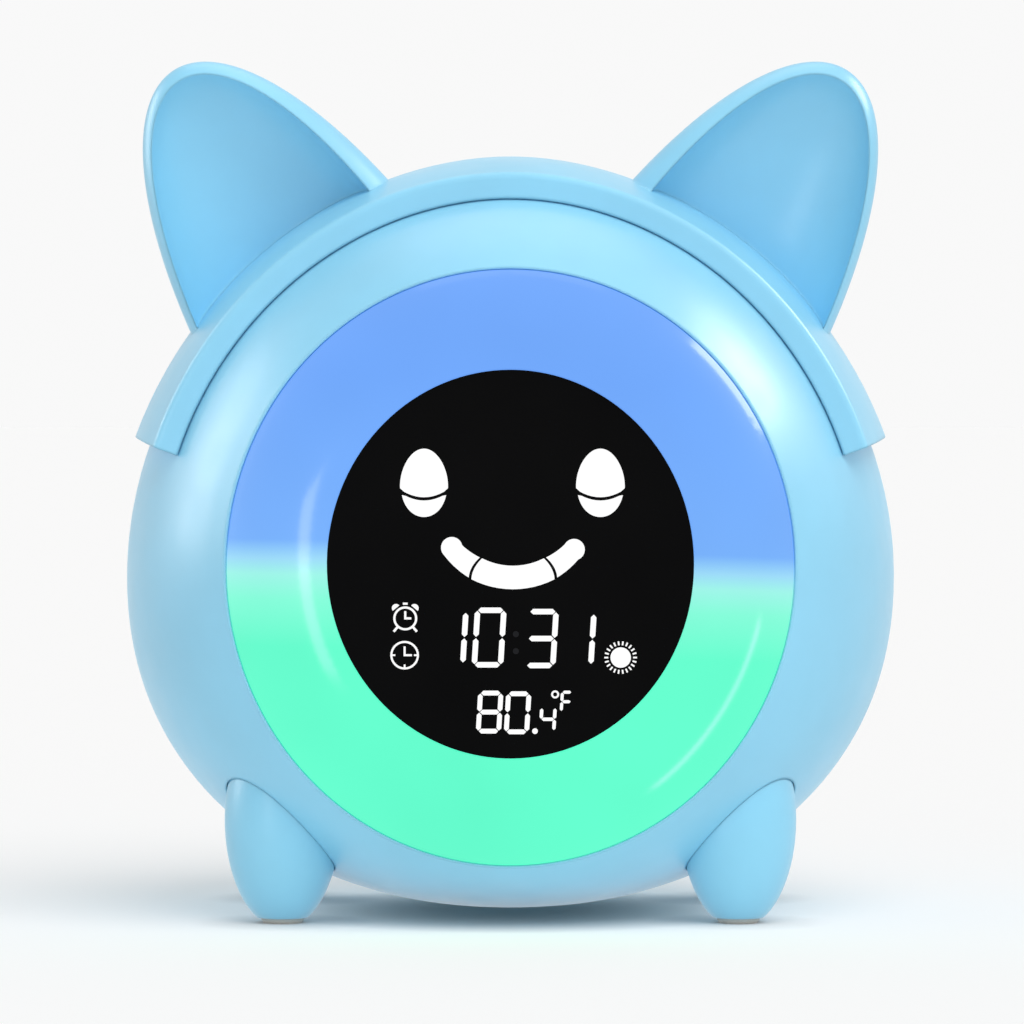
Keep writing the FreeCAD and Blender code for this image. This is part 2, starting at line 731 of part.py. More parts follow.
def ear(name, side):
    """One scooped ear: an upright egg with a narrower egg taken out of its front."""
    lean = Rotation(Vector(0, 1, 0), side * size("ear_lean"))
    shell = solid("Ellipsoid", f"{name}_ear_shell", lean, Radius1="sizes.ear_half_length",
                  Radius2="sizes.ear_half_width", Radius3="sizes.ear_half_depth",
                  x=f"{side} * sizes.ear_side", y="-sizes.ear_plane", z="sizes.ear_height")
    lean = Rotation(Vector(0, 1, 0), side * size("scoop_lean"))
    scoop = solid("Ellipsoid", f"{name}_ear_scoop", lean, Radius1="sizes.scoop_half_length",
                  Radius2="sizes.scoop_half_width", Radius3="sizes.scoop_half_depth",
                  x=f"{side} * sizes.scoop_side", y="-sizes.scoop_plane", z="sizes.scoop_height")
    return cut(f"{name}_ear", shell, [scoop])


def ear_headband():
    """Lift-off headband: a band over the case, two scooped ears and two pegs in one moulding."""
    front = -size("band_front")
    back = size("band_back")
    outer = Part.makeLoft([band_section(depth) for depth in spread(front, back, 6)], True)
    outer = outer.common(wedge(size("band_half_angle"), 150))
    front_edges = [edge for edge in outer.Edges
                   if edge.BoundBox.YMax < front + 0.01 and edge.Length > 60]
    band = feature("band_outer", outer.makeFillet(1.0, front_edges))
    body_space = feature("band_body_space", case_loft(spread(front_edge + 2, 20, 8), grow=size("band_gap")))
    whole = fuse("headband_whole", [band, ear("left", -1), ear("right", 1)])
    hollow = cut("headband_hollow", whole, [body_space])
    pegs = [solid("Cylinder", f"peg_{side}", Radius="sizes.peg_radius", Height="sizes.peg_length",
                  x=f"{sign} * sizes.peg_side", y="-sizes.peg_plane", z="sizes.peg_floor")
            for side, sign in (("left", -1), ("right", 1))]
    return keep(fuse("ear_headband_body", [hollow] + pegs), "ear_headband")


def legs():
    """Four egg-shaped legs, each with a recess for its pad and a screw hole in its top."""
    for place, x, y in LEGS:
        egg = solid("Ellipsoid", f"leg_egg_{place}", x=x, y=y, z="sizes.leg_widest",
                    Radius1="sizes.leg_half_height", Radius2="sizes.leg_radius",
                    Radius3="sizes.leg_radius")
        trim = solid("Cylinder", f"leg_trim_{place}", Radius="sizes.leg_radius + 1",
                     Height="sizes.leg_top - sizes.leg_bottom", x=x, y=y, z="sizes.leg_bottom")
        recess = solid("Cylinder", f"leg_recess_{place}", Radius="sizes.pad_radius + 0.1",
                       Height="sizes.leg_bottom + sizes.pad_recess", x=x, y=y, z="0")
        pilot = solid("Cylinder", f"leg_pilot_{place}", Radius="sizes.screw_pilot_radius",
                      Height="10", x=x, y=y, z="sizes.leg_top - 7")
        blank = common(f"leg_blank_{place}", [egg, trim])
        keep(cut(f"leg_{place}_body", blank, [recess, pilot]), f"leg_{place}")
        pad = turned(f"pad_{place}_body", [
            ("0", "0"), ("sizes.pad_radius - 0.4", "0"), ("sizes.pad_radius", "0.4"),
            ("sizes.pad_radius", "sizes.leg_bottom + sizes.pad_recess"),
            ("0", "sizes.leg_bottom + sizes.pad_recess")], x=x, y=y)
        keep(pad, f"pad_{place}")


def screw(name, head_radius, head_height, radius, length, rotation, **place):
    """A screw turned about its axis, head first, its shank pointing down its own Z."""
    return turned(name, [
        ("0", "-" + length), (f"{radius} * 0.5", "-" + length), (radius, f"0.6 - {length}"), (radius, "0"),
        (head_radius, "0"), (head_radius, f"{head_height} * 0.6"), (f"{head_radius} * 0.7", head_height),
        ("0", head_height)], rotation, **place)


def screws():
    case = [screw(f"case_screw_{place}", "sizes.screw_head_radius", "sizes.screw_head_height",
                  "sizes.screw_radius", "sizes.case_screw_length", BACKWARD, x=x, y="3", z=z)
            for place, x, z in BOSSES]
    keep(group("case_screw_group", case), "case_screws")
    leg = [screw(f"leg_screw_{place}", "sizes.screw_head_radius", "sizes.screw_head_height",
                 "sizes.screw_radius", "sizes.leg_screw_length", UPRIGHT, x=x, y=y,
                 z="sizes.leg_top + sizes.saddle_thickness")
           for place, x, y in LEGS]
    keep(group("leg_screw_group", leg), "leg_screws")
    small = ("sizes.small_screw_head_radius", "sizes.small_screw_head_height",
             "sizes.small_screw_radius", "sizes.small_screw_length")
    board = [screw(f"front_board_screw_{index}", *small, BACKWARD, x=str(x), z=str(z),
                   y="-sizes.front_board_face + sizes.board_thickness")
             for index, (x, z) in enumerate(front_board_screw_places())]
    board += [screw(f"back_board_screw_{index}", *small, FORWARD, x=x, z=z,
                    y="sizes.back_board_back - sizes.board_thickness")
              for index, (x, z) in enumerate(back_board_screws())]
    board += [screw(f"clamp_screw_{index}", *small, FORWARD, x=x, z=z, y="sizes.clamp_front")
              for index, (x, z) in enumerate(clamp_screws())]
    keep(group("board_screw_group", board), "board_screws")


def back_board():
    """Round board behind the buttons, with a hole for the speaker magnet."""
    disc = rod_along_y("back_board_disc", "sizes.back_board_radius", "0", "sizes.back_centre_height",
                       "sizes.back_board_back - sizes.board_thickness", "sizes.back_board_back")
    holes = [rod_along_y("back_board_middle", "sizes.back_board_hole_radius", "0",
                         "sizes.back_centre_height", "30", "40")]
    holes += [rod_along_y(f"back_board_hole_{index}", "sizes.small_pilot_radius + 0.1", x, z, "30", "40")
              for index, (x, z) in enumerate(back_board_screws())]
    keep(cut("back_board_body", disc, holes), "back_board")


def buttons():
    """Six press buttons with inner flanges, and the switches under them."""
    switches = []
    for name, x, z in button_places():
        length = "sizes.back_depth + sizes.button_proud - sizes.button_base"
        button = turned(f"button_{name}_body", [
            ("0", "0"), ("sizes.button_flange_radius", "0"),
            ("sizes.button_flange_radius", "sizes.button_flange_thickness"),
            ("sizes.button_radius", "sizes.button_flange_thickness"),
            ("sizes.button_radius", length + " - 0.6"), ("sizes.button_radius - 0.6", length), ("0", length)],
            BACKWARD, x=x, y="sizes.button_base", z=z)
        keep(button, f"button_{name}")
        base = box_at(f"switch_base_{name}", x, "sizes.back_board_back", z, "sizes.switch_base",
                      "sizes.switch_base_height", "sizes.switch_base")
        tip = rod_along_y(f"switch_tip_{name}", "sizes.switch_tip_radius", x, z,
                          "sizes.back_board_back + 2", "sizes.switch_tip_end")
        switches.append(fuse(f"switch_{name}", [base, tip]))
    keep(group("button_switch_group", switches), "button_switches")


def power_slider():
    """Slide switch on the board and the knob that reaches through the case."""
    rest = "sizes.knob_side - sizes.knob_travel / 2"
    base = box_at("switch_block", "sizes.knob_side", "sizes.back_board_back", ROW_HEIGHT, "10", "3.8", "4.6")
    channel = box_at("switch_channel", "sizes.knob_side", "sizes.switch_channel_front", ROW_HEIGHT,
                     "sizes.knob_travel + sizes.knob_leg_length + 0.8", "4", "2.4")
    keep(cut("power_switch_body", base, [channel]), "power_switch")
    cap = box_at("knob_cap", rest, "sizes.button_base", ROW_HEIGHT, "sizes.knob_length",
                 "sizes.knob_end - sizes.button_base", "sizes.knob_height")
    flange = box_at("knob_flange", rest, "sizes.button_base", ROW_HEIGHT, "sizes.knob_flange_length",
                    "sizes.button_flange_thickness", "sizes.knob_flange_height")
    leg = box_at("knob_leg", rest, "sizes.switch_channel_front + 0.8", ROW_HEIGHT,
                 "sizes.knob_leg_length", "3", "1.6")
    keep(fuse("power_knob_body", [cap, flange, leg]), "power_knob")


def charging_socket():
    """Flat charging socket: a rounded metal shell with a tongue inside."""
    shell = slot_body("socket_shell", "sizes.socket_half_height", "sizes.socket_half_length", "7.5",
                      inner=("-0.3", "6.5"), x="sizes.socket_side", z=ROW_HEIGHT,
                      y="sizes.back_board_back")
    tongue = box_at("socket_tongue", "sizes.socket_side", "sizes.back_board_back + 0.5", ROW_HEIGHT,
                    "6.2", "6.3", "0.7")
    keep(fuse("charging_socket_body", [shell, tongue]), "charging_socket")


def speaker():
    """Small round speaker against the grille, held by a three-lug clamp."""
    driver = turned("speaker_body", [
        ("0", "-9"), ("8.5", "-9"), ("8.5", "-5"), ("10", "-4.2"), ("12.4", "-1.2"),
        ("sizes.speaker_radius", "-1.2"), ("sizes.speaker_radius", "0"), ("12.2", "0"),
        ("9", "-2.2"), ("3", "-3.6"), ("0", "-2.6")],
        BACKWARD, y="sizes.back_depth - sizes.wall", z="sizes.back_centre_height")
    keep(driver, "speaker")
    plates = [rod_along_y("clamp_disc", "sizes.clamp_radius", "0", "sizes.back_centre_height",
                          "sizes.clamp_front", "sizes.clamp_back")]
    plates += [rod_along_y(f"clamp_lug_{index}", "sizes.clamp_lug_radius", x, z,
                           "sizes.clamp_front", "sizes.clamp_back")
               for index, (x, z) in enumerate(clamp_screws())]
    holes = [rod_along_y("clamp_opening", "sizes.clamp_opening_radius", "0", "sizes.back_centre_height",
                         "41", "43")]
    holes += [rod_along_y(f"clamp_hole_{index}", "sizes.small_pilot_radius + 0.1", x, z, "41", "43")
              for index, (x, z) in enumerate(clamp_screws())]
    keep(cut("speaker_clamp_body", fuse("clamp_plate", plates), holes), "speaker_clamp")


def battery():
    """Flat rechargeable cell in a tray that rests on the lower screw wells."""
    base = "sizes.lower_boss_height + sizes.well_radius"
    outer = solid("Box", "tray_outer", Length="sizes.tray_length", Width="sizes.tray_width",
                  Height="sizes.tray_height", x="-sizes.tray_length / 2", y="sizes.tray_front", z=base)
    inner = solid("Box", "tray_inner", Length="sizes.tray_length - 2 * sizes.tray_wall",
                  Width="sizes.tray_width - 2 * sizes.tray_wall", Height="sizes.tray_height",
                  x="-sizes.tray_length / 2 + sizes.tray_wall", y="sizes.tray_front + sizes.tray_wall",
                  z=base + " + sizes.tray_floor")
    keep(cut("battery_tray_body", outer, [inner]), "battery_tray")
    body = doc.addObject("PartDesign::Body", "battery_cell_body")
    sketch = outline_sketch(body, "cell_outline", "XY_Plane",
                            [(f"{across} * sizes.cell_length / 2", f"{along} * sizes.cell_width / 2")
                             for across, along in ((-1, -1), (1, -1), (1, 1), (-1, 1))])
    pad = body.newObject("PartDesign::Pad", "cell_pad")
    pad.Profile = sketch
    pad.setExpression("Length", "sizes.cell_height")
    doc.recompute()
    fillet = body.newObject("PartDesign::Fillet", "cell_fillet")
    names = [f"Edge{index + 1}" for index, edge in enumerate(pad.Shape.Edges)
             if abs(edge.tangentAt(edge.FirstParameter).x) > 0.99]
    fillet.Base = (pad, names)
    fillet.setExpression("Radius", "sizes.cell_edge_radius")
    bind(body, y="sizes.tray_front + sizes.tray_width / 2", z=base + " + sizes.tray_floor")
    keep(body, "battery_cell")


def check_and_export():
    doc.recompute()
    for item in doc.Objects:
        if "Invalid" in item.State or "Error" in item.State:
            raise RuntimeError(f"{item.Name} failed: {item.State}")
    for item in parts:
        if item.Shape.isNull() or not item.Shape.isValid():
            raise RuntimeError(f"{item.Label} has no valid shape")
    os.makedirs("parts", exist_ok=True)
    for item in parts:
        item.Shape.exportStep(f"parts/{item.Label}.step")
        print(item.Label, len(item.Shape.Solids), round(item.Shape.Volume, 1))


front_shell()
rear_shell()
diffuser_ring()
display_window()
segment_film()
light_guide()
light_baffle()
front_board()
ring_leds()
ear_headband()
legs()
screws()
back_board()
buttons()
power_slider()
charging_socket()
speaker()
battery()
check_and_export()
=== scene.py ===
import json
import math

import bmesh
import bpy
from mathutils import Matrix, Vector


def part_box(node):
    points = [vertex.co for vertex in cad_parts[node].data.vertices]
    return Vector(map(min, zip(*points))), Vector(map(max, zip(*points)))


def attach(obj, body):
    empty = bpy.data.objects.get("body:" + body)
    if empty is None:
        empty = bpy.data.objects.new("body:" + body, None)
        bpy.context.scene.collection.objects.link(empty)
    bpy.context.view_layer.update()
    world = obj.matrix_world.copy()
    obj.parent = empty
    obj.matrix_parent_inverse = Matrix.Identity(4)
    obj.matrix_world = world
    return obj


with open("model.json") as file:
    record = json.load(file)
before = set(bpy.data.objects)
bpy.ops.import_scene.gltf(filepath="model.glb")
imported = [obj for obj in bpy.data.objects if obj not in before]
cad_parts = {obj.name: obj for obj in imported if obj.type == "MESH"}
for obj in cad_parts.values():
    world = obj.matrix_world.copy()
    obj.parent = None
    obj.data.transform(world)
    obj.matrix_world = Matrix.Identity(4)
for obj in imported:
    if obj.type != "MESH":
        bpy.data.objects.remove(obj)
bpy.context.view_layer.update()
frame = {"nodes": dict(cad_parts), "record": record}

MM = 0.001

# Placement of the signs: the window is a slightly domed disc, and the signs follow its dome.
WINDOW_LOW, WINDOW_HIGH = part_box("display_window")
WINDOW_FRONT = WINDOW_LOW[1]
WINDOW_CENTRE = (WINDOW_LOW[2] + WINDOW_HIGH[2]) / 2
WINDOW_RADIUS = 400 * MM
SIGN_PROUD = 0.07 * MM
SIGN_SUNK = 0.05 * MM
PRINT_PROUD = 0.04 * MM

# The lamp ring's colours change from green to blue at a slightly tilted and wavering height.
LAMP_LOW, LAMP_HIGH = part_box("diffuser_ring")
LAMP_CENTRE = (LAMP_LOW[2] + LAMP_HIGH[2]) / 2
LAMP_REACH = 45 * MM
CHANGE_RISE = 3 * MM
CHANGE_WAVER = 6 * MM
CHANGE_TILT = 0.03

# Surface relief
GRAIN_DEPTH = 0.04 * MM
FINE_DEPTH = 0.03 * MM
WEAVE_DEPTH = 0.1 * MM
WINDOW_DEPTH = 0.05 * MM
COLOUR_SPREAD = 0.04
EDGE = 0.7 * MM

# Stage and lamps
CLOCK_MIDDLE = Vector((0, 0, 0.06))
FLOOR_WHITE = 0.945
FLOOR_REACH = 12.0
FLOOR_GLOW = 0.36
# Painted shadow: the reach within which the floor's glow darkens near the clock
PAINTED_SHADOW_REACH = 9 * MM
SKY_GREY = 0.5
PANEL_DISTANCE = 0.9

# Camera, fitted to the photograph
CAMERA_DISTANCE = 0.9
CAMERA_HEIGHT = 0.08
CAMERA_SIDE = 0.00023
CLIP_START = 0.01
FOCAL_PIXELS = 5841.0
FRAME_PIXELS = 1024.0
SENSOR = 36.0
HORIZON_ROW = 390.9


# Materials


class Nodes:
    """A short way to make and wire shader nodes."""

    def __init__(self, name):
        self.material = bpy.data.materials.new(name)
        self.material.use_nodes = True
        self.tree = self.material.node_tree
        self.tree.nodes.clear()
        self.output = self.add("ShaderNodeOutputMaterial")

    def add(self, kind, **settings):
        node = self.tree.nodes.new(kind)
        for key, value in settings.items():
            setattr(node, key, value)
        return node

    def link(self, source, target):
        self.tree.links.new(source, target)

    def principled(self, **sockets):
        node = self.add("ShaderNodeBsdfPrincipled")
        for name, value in sockets.items():
            node.inputs[name.replace("_", " ")].default_value = value
        self.link(node.outputs[0], self.output.inputs[0])
        return node

    def place(self):
        return self.add("ShaderNodeTexCoord").outputs["Object"]

    def noise(self, scale, detail=3.0):
        node = self.add("ShaderNodeTexNoise")
        node.inputs["Scale"].default_value = scale
        node.inputs["Detail"].default_value = detail
        node.inputs["Roughness"].default_value = 0.55
        self.link(self.place(), node.inputs["Vector"])
        return node.outputs["Fac"]

    def ramp(self, source, stops):
        node = self.add("ShaderNodeValToRGB")
        node.color_ramp.elements[0].position = stops[0][0]
        node.color_ramp.elements[0].color = (*stops[0][1], 1)
        node.color_ramp.elements[1].position = stops[-1][0]
        node.color_ramp.elements[1].color = (*stops[-1][1], 1)
        for position, colour in stops[1:-1]:
            node.color_ramp.elements.new(position).color = (*colour, 1)
        self.link(source, node.inputs["Fac"])
        return node.outputs["Color"]

    def map_range(self, source, low, high, to_low=0.0, to_high=1.0):
        node = self.add("ShaderNodeMapRange")
        for index, value in enumerate((low, high, to_low, to_high), 1):
            node.inputs[index].default_value = value
        self.link(source, node.inputs[0])
        return node.outputs[0]

    def maths(self, operation, first, second):
        node = self.add("ShaderNodeMath", operation=operation)
        for index, value in enumerate((first, second)):
            if isinstance(value, (int, float)):
                node.inputs[index].default_value = value
            else:
                self.link(value, node.inputs[index])
        return node.outputs[0]

    def bump(self, shader, height, strength, distance, rounding=0.0):
        """Fine relief, over edges that are rounded by a small radius if one is given."""
        node = self.add("ShaderNodeBump")
        node.inputs["Strength"].default_value = strength
        node.inputs["Distance"].default_value = distance
        self.link(height, node.inputs["Height"])
        self.link(node.outputs[0], shader.inputs["Normal"])
        if rounding:
            soft = self.add("ShaderNodeBevel", samples=6)
            soft.inputs["Radius"].default_value = rounding
            self.link(soft.outputs[0], node.inputs["Normal"])
            if shader.inputs["Coat Weight"].default_value:
                self.link(soft.outputs[0], shader.inputs["Coat Normal"])


def tint(colour, factor):
    return tuple(min(1.0, part * factor) for part in colour)


def plastic(name, colour, roughness=0.4, grain=4000.0, relief=0.12, coat=0.0, rounding=0.0):
    """Moulded plastic: faint flow marks in the colour, uneven gloss and a fine eroded grain."""
    nodes = Nodes(name)
    shader = nodes.principled(Coat_Weight=coat, Coat_Roughness=0.3)
    flow = nodes.noise(45.0, 4.0)
    stops = [(0.3, tint(colour, 1 - COLOUR_SPREAD)), (0.7, tint(colour, 1 + COLOUR_SPREAD))]
    nodes.link(nodes.ramp(flow, stops), shader.inputs["Base Color"])
    gloss = nodes.map_range(nodes.noise(160.0), 0.3, 0.7, roughness - 0.04, roughness + 0.04)
    nodes.link(gloss, shader.inputs["Roughness"])
    nodes.bump(shader, nodes.noise(grain, 2.0), relief, GRAIN_DEPTH, rounding)
    return nodes.material


def metal(name, colour, roughness=0.3):
    """Plated steel with fine drawn marks."""
    nodes = Nodes(name)
    shader = nodes.principled(Metallic=1.0)
    marks = nodes.noise(900.0, 3.0)
    stops = [(0.3, tint(colour, 0.85)), (0.7, tint(colour, 1.1))]
    nodes.link(nodes.ramp(marks, stops), shader.inputs["Base Color"])
    gloss = nodes.map_range(marks, 0.3, 0.7, roughness - 0.08, roughness + 0.1)
    nodes.link(gloss, shader.inputs["Roughness"])
    nodes.bump(shader, marks, 0.1, FINE_DEPTH)
    return nodes.material


def circuit(name):
    """Lacquered board: dark green cells with paler green lines between them."""
    nodes = Nodes(name)
    shader = nodes.principled(Coat_Weight=0.6, Coat_Roughness=0.15)
    cells = nodes.add("ShaderNodeTexVoronoi", feature="DISTANCE_TO_EDGE")
    cells.inputs["Scale"].default_value = 220.0
    nodes.link(nodes.place(), cells.inputs["Vector"])
    stops = [(0.02, (0.03, 0.2, 0.09)), (0.1, (0.015, 0.11, 0.05))]
    nodes.link(nodes.ramp(cells.outputs["Distance"], stops), shader.inputs["Base Color"])
    nodes.link(nodes.map_range(nodes.noise(500.0), 0.3, 0.7, 0.35, 0.5), shader.inputs["Roughness"])
    nodes.bump(shader, cells.outputs["Distance"], 0.2, WEAVE_DEPTH)
    return nodes.material


def lit_ring(name):
    """Milky lamp cover: blue light above, green below, paler where the two meet."""
    nodes = Nodes(name)
    shader = nodes.principled(Roughness=0.4, Specular_IOR_Level=0.1, Coat_Weight=0.5,
                              Coat_Roughness=0.13)
    split = nodes.add("ShaderNodeSeparateXYZ")
    nodes.link(nodes.place(), split.inputs[0])
    waver = nodes.maths("MULTIPLY", nodes.noise(18.0, 1.0), CHANGE_WAVER)
    tilt = nodes.maths("MULTIPLY", split.outputs["X"], CHANGE_TILT)
    height = nodes.maths("ADD", nodes.maths("ADD", split.outputs["Z"], tilt), waver)
    middle = LAMP_CENTRE + CHANGE_RISE
    share = nodes.map_range(height, middle - LAMP_REACH, middle + LAMP_REACH)
    colour = nodes.ramp(share, [
        (0.0, (0.10, 0.97, 0.60)), (0.36, (0.11, 0.98, 0.61)), (0.435, (0.22, 0.98, 0.70)),
        (0.475, (0.34, 0.92, 0.82)), (0.50, (0.33, 0.70, 0.96)), (0.53, (0.17, 0.42, 0.98)),
        (0.8, (0.145, 0.37, 0.97)), (1.0, (0.15, 0.37, 0.97))])
    nodes.link(colour, shader.inputs["Emission Color"])
    glow = nodes.map_range(nodes.noise(30.0, 2.0), 0.3, 0.7, 0.91, 0.99)
    nodes.link(glow, shader.inputs["Emission Strength"])
    nodes.link(nodes.ramp(share, [(0.45, (0.01, 0.05, 0.03)), (0.55, (0.01, 0.03, 0.05))]),
               shader.inputs["Base Color"])
    nodes.bump(shader, nodes.noise(1200.0, 2.0), 0.03, FINE_DEPTH)
    return nodes.material


def smoked(name):
    """Polished black window with the slightest unevenness."""
    nodes = Nodes(name)
    shader = nodes.principled(Specular_IOR_Level=0.03)
    stops = [(0.3, (0.0018, 0.0018, 0.002)), (0.7, (0.0024, 0.0024, 0.0026))]
    nodes.link(nodes.ramp(nodes.noise(60.0), stops), shader.inputs["Base Color"])
    nodes.link(nodes.map_range(nodes.noise(90.0), 0.3, 0.7, 0.12, 0.18), shader.inputs["Roughness"])
    nodes.bump(shader, nodes.noise(30.0, 1.0), 0.02, WINDOW_DEPTH)
    return nodes.material


def lit_sign(name, strength, colour=(1.0, 1.0, 1.0)):
    """A lit segment: white light with a slight falloff between its lamps."""
    nodes = Nodes(name)
    shader = nodes.principled(Base_Color=(0.003, 0.003, 0.003, 1), Roughness=0.4,
                              Specular_IOR_Level=0.1)
    nodes.link(nodes.ramp(nodes.noise(400.0), [(0.3, tint(colour, 0.95)), (0.7, colour)]),
               shader.inputs["Emission Color"])
    shader.inputs["Emission Strength"].default_value = strength
    return nodes.material


MATERIALS = {
    "shell_blue": plastic("shell_blue_satin", (0.26, 0.635, 0.86), 0.38, relief=0.1, coat=0.25,
                          rounding=EDGE),
    "leg_blue": plastic("leg_blue_satin", (0.26, 0.64, 0.86), 0.4, relief=0.1, coat=0.2,
                        rounding=EDGE),
    "lamp_diffuser": lit_ring("lamp_cover_lit"),
    "smoked_window": smoked("window_smoked"),
    "film": plastic("film_printed", (0.02, 0.02, 0.022), 0.5),
    "black_plastic": plastic("black_moulded", (0.02, 0.02, 0.02), 0.5),
    "white_plastic": plastic("white_moulded", (0.8, 0.8, 0.78), 0.45),
    "circuit_board": circuit("board_lacquered"),
    "led": plastic("led_resin", (0.8, 0.8, 0.7), 0.2, coat=0.5),
    "pad_rubber": plastic("pad_soft", (0.62, 0.62, 0.58), 0.7, grain=2500.0, relief=0.3),
    "screw_steel": metal("screw_plated", (0.6, 0.6, 0.62)),
    "button_rubber": plastic("button_satin", (0.62, 0.78, 0.86), 0.5, grain=3000.0),
    "socket_metal": metal("socket_plated", (0.7, 0.7, 0.72), 0.25),
    "speaker_black": plastic("speaker_pressed", (0.03, 0.03, 0.03), 0.6),
    "cell_wrap": plastic("cell_foil", (0.5, 0.53, 0.56), 0.3),
}
LIT = lit_sign("sign_lit", 1.05)
DIM = lit_sign("sign_dim", 0.008, (0.7, 0.75, 1.0))
PRINT = plastic("print_ink", (0.1, 0.3, 0.45), 0.5)


def dress_nodes():
    """Gives every CAD node the material of its slot."""
    slots = {entry["node"]: entry["material_slot"] for entry in frame["record"]["subparts"]}
    for node, item in frame["nodes"].items():
        item.data.materials.clear()
        item.data.materials.append(MATERIALS[slots[node]])


# Signs on the display


def on_window(x, z, proud):
    """A point over the window's domed front, x and z in mm in the clock's frame."""
    across = math.hypot(x * MM, z * MM - WINDOW_CENTRE)
    return Vector((x * MM, WINDOW_FRONT + across ** 2 / (2 * WINDOW_RADIUS) - proud, z * MM))


def on_button(node):
    """A function that gives points over a button's outer face, measured from its middle in mm."""
    low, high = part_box(node)
    middle = (Vector(low) + Vector(high)) / 2

    def place(across, up, proud):
        return Vector((middle.x - across * MM, high[1] + proud, middle.z + up * MM))
    return place


def sign(name, outlines, material, body="case", place=on_window, proud=SIGN_PROUD):
    """Flat closed plates that stand a hair proud of a surface and ride with its body."""
    shape = bmesh.new()
    for outline in outlines:
        front = [shape.verts.new(place(x, z, proud)) for x, z in outline]
        back = [shape.verts.new(place(x, z, -SIGN_SUNK)) for x, z in outline]
        shape.faces.new(front)
        shape.faces.new(back[::-1])
        for index in range(len(outline)):
            shape.faces.new((front[index - 1], back[index - 1], back[index], front[index]))
    bmesh.ops.recalc_face_normals(shape, faces=shape.faces)
    bmesh.ops.triangulate(shape, faces=[face for face in shape.faces if len(face.verts) > 4])
    mesh = bpy.data.meshes.new(name)
    shape.to_mesh(mesh)
    shape.free()
    mesh.materials.append(material)
    item = bpy.data.objects.new(name, mesh)
    bpy.context.collection.objects.link(item)
    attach(item, body)


def arc(centre, radius, start, end, count=24):
    """Points on an arc, angles in degrees anticlockwise from +X."""
    turns = [math.radians(start + (end - start) * step / (count - 1)) for step in range(count)]
    return [(centre[0] + radius * math.cos(turn), centre[1] + radius * math.sin(turn)) for turn in turns]


def stroke(points, width, closed=False):
    """Short plates along a line, each sharing its ends with the next."""
    count = len(points)
    sides = []
    for index, (x, z) in enumerate(points):
        before = points[index - 1] if index or closed else points[index]
        after = points[(index + 1) % count] if index < count - 1 or closed else points[index]
        along = Vector((after[0] - before[0], after[1] - before[1])).normalized()
        across = Vector((-along.y, along.x)) * width / 2
        sides.append(((x + across.x, z + across.y), (x - across.x, z - across.y)))
    plates = []
    for index in range(count if closed else count - 1):
        (a, b), (c, d) = sides[index], sides[(index + 1) % count]
        plates.append([a, b, d, c])
    return plates


def disc(centre, radius, count=24):
    return [arc(centre, radius, 0, 360 * (count - 1) / count, count)]


def ring(centre, radius, width, count=32):
    return stroke(arc(centre, radius, 0, 360 * (count - 1) / count, count), width, closed=True)


EYE_TAPER = 0.1
EYE_STEPS = 120
LID_DROP = 2.35
LID_CURVE = 1.15
LID_HALF_GAP = 0.24
LID_STEPS = 12
LOWER_TRIM = 0.15
RIM_CLEAR = 0.01


def eye(centre, half_width, half_height):
    """A closed eye: an egg, wider below, split by the dark curve of its lid."""
    def lid(x, side):
        share = (x - centre[0]) / half_width
        return centre[1] - LID_DROP + LID_CURVE * share ** 2 + side * LID_HALF_GAP

    plates = []
    for side, narrower in ((1, 0.0), (-1, LOWER_TRIM)):
        rim = []
        for step in range(EYE_STEPS):
            turn = 2 * math.pi * step / EYE_STEPS - side * math.pi / 2
            taper = 1 - EYE_TAPER * math.sin(turn)
            x = centre[0] + (half_width - narrower) * math.cos(turn) * taper
            z = centre[1] + half_height * math.sin(turn)
            if side * (z - lid(x, side)) > RIM_CLEAR:
                rim.append((x, z))
        last, first = rim[-1][0], rim[0][0]
        for step in range(1, LID_STEPS):
            x = last + (first - last) * step / LID_STEPS
            rim.append((x, lid(x, side)))
        plates.append(rim)
    return plates


def bow(centre, radius, start, end, half_widths, bulges):
    """A curved bar with its own half width and its own bulge in degrees at each end."""
    def rim(angle, half, bulge):
        points = []
        for step in range(9):
            share = step / 4 - 1
            turn = math.radians(angle + bulge * (1 - share ** 2))
            reach = radius - half * share
            points.append((centre[0] + reach * math.cos(turn), centre[1] + reach * math.sin(turn)))
        return points

    def edge(side, from_angle, to_angle):
        points = []
        for step in range(1, 12):
            share = step / 12
            turn = math.radians(from_angle + (to_angle - from_angle) * share)
            along = (from_angle + (to_angle - from_angle) * share - start) / (end - start)
            reach = radius + side * (half_widths[0] + (half_widths[1] - half_widths[0]) * along)
            points.append((centre[0] + reach * math.cos(turn), centre[1] + reach * math.sin(turn)))
        return points
    return [rim(start, half_widths[0], bulges[0]) + edge(-1, start, end)
            + rim(end, half_widths[1], bulges[1])[::-1] + edge(1, end, start)]


SMILE_CENTRE = (0.37, 64.35)
SMILE_RADIUS = 11.65
SMILE_BULGE = 1.6
SMILE_NUBS = ((-8.59, 57.06), (9.32, 56.78))
SMILE_NUB_RADIUS = 1.57


def smile():
    """A smile of three bars with dark curved gaps and a round nub at each end."""
    plates = bow(SMILE_CENTRE, SMILE_RADIUS, 219.3, 240.9, (1.45, 1.68), (0, -SMILE_BULGE))
    plates += bow(SMILE_CENTRE, SMILE_RADIUS, 242.9, 297.1, (1.72, 1.72),
                  (-SMILE_BULGE, SMILE_BULGE))
    plates += bow(SMILE_CENTRE, SMILE_RADIUS, 299.1, 319.4, (1.68, 1.45), (SMILE_BULGE, 0))
    for nub in SMILE_NUBS:
        plates += disc(nub, SMILE_NUB_RADIUS, 32)
    return plates


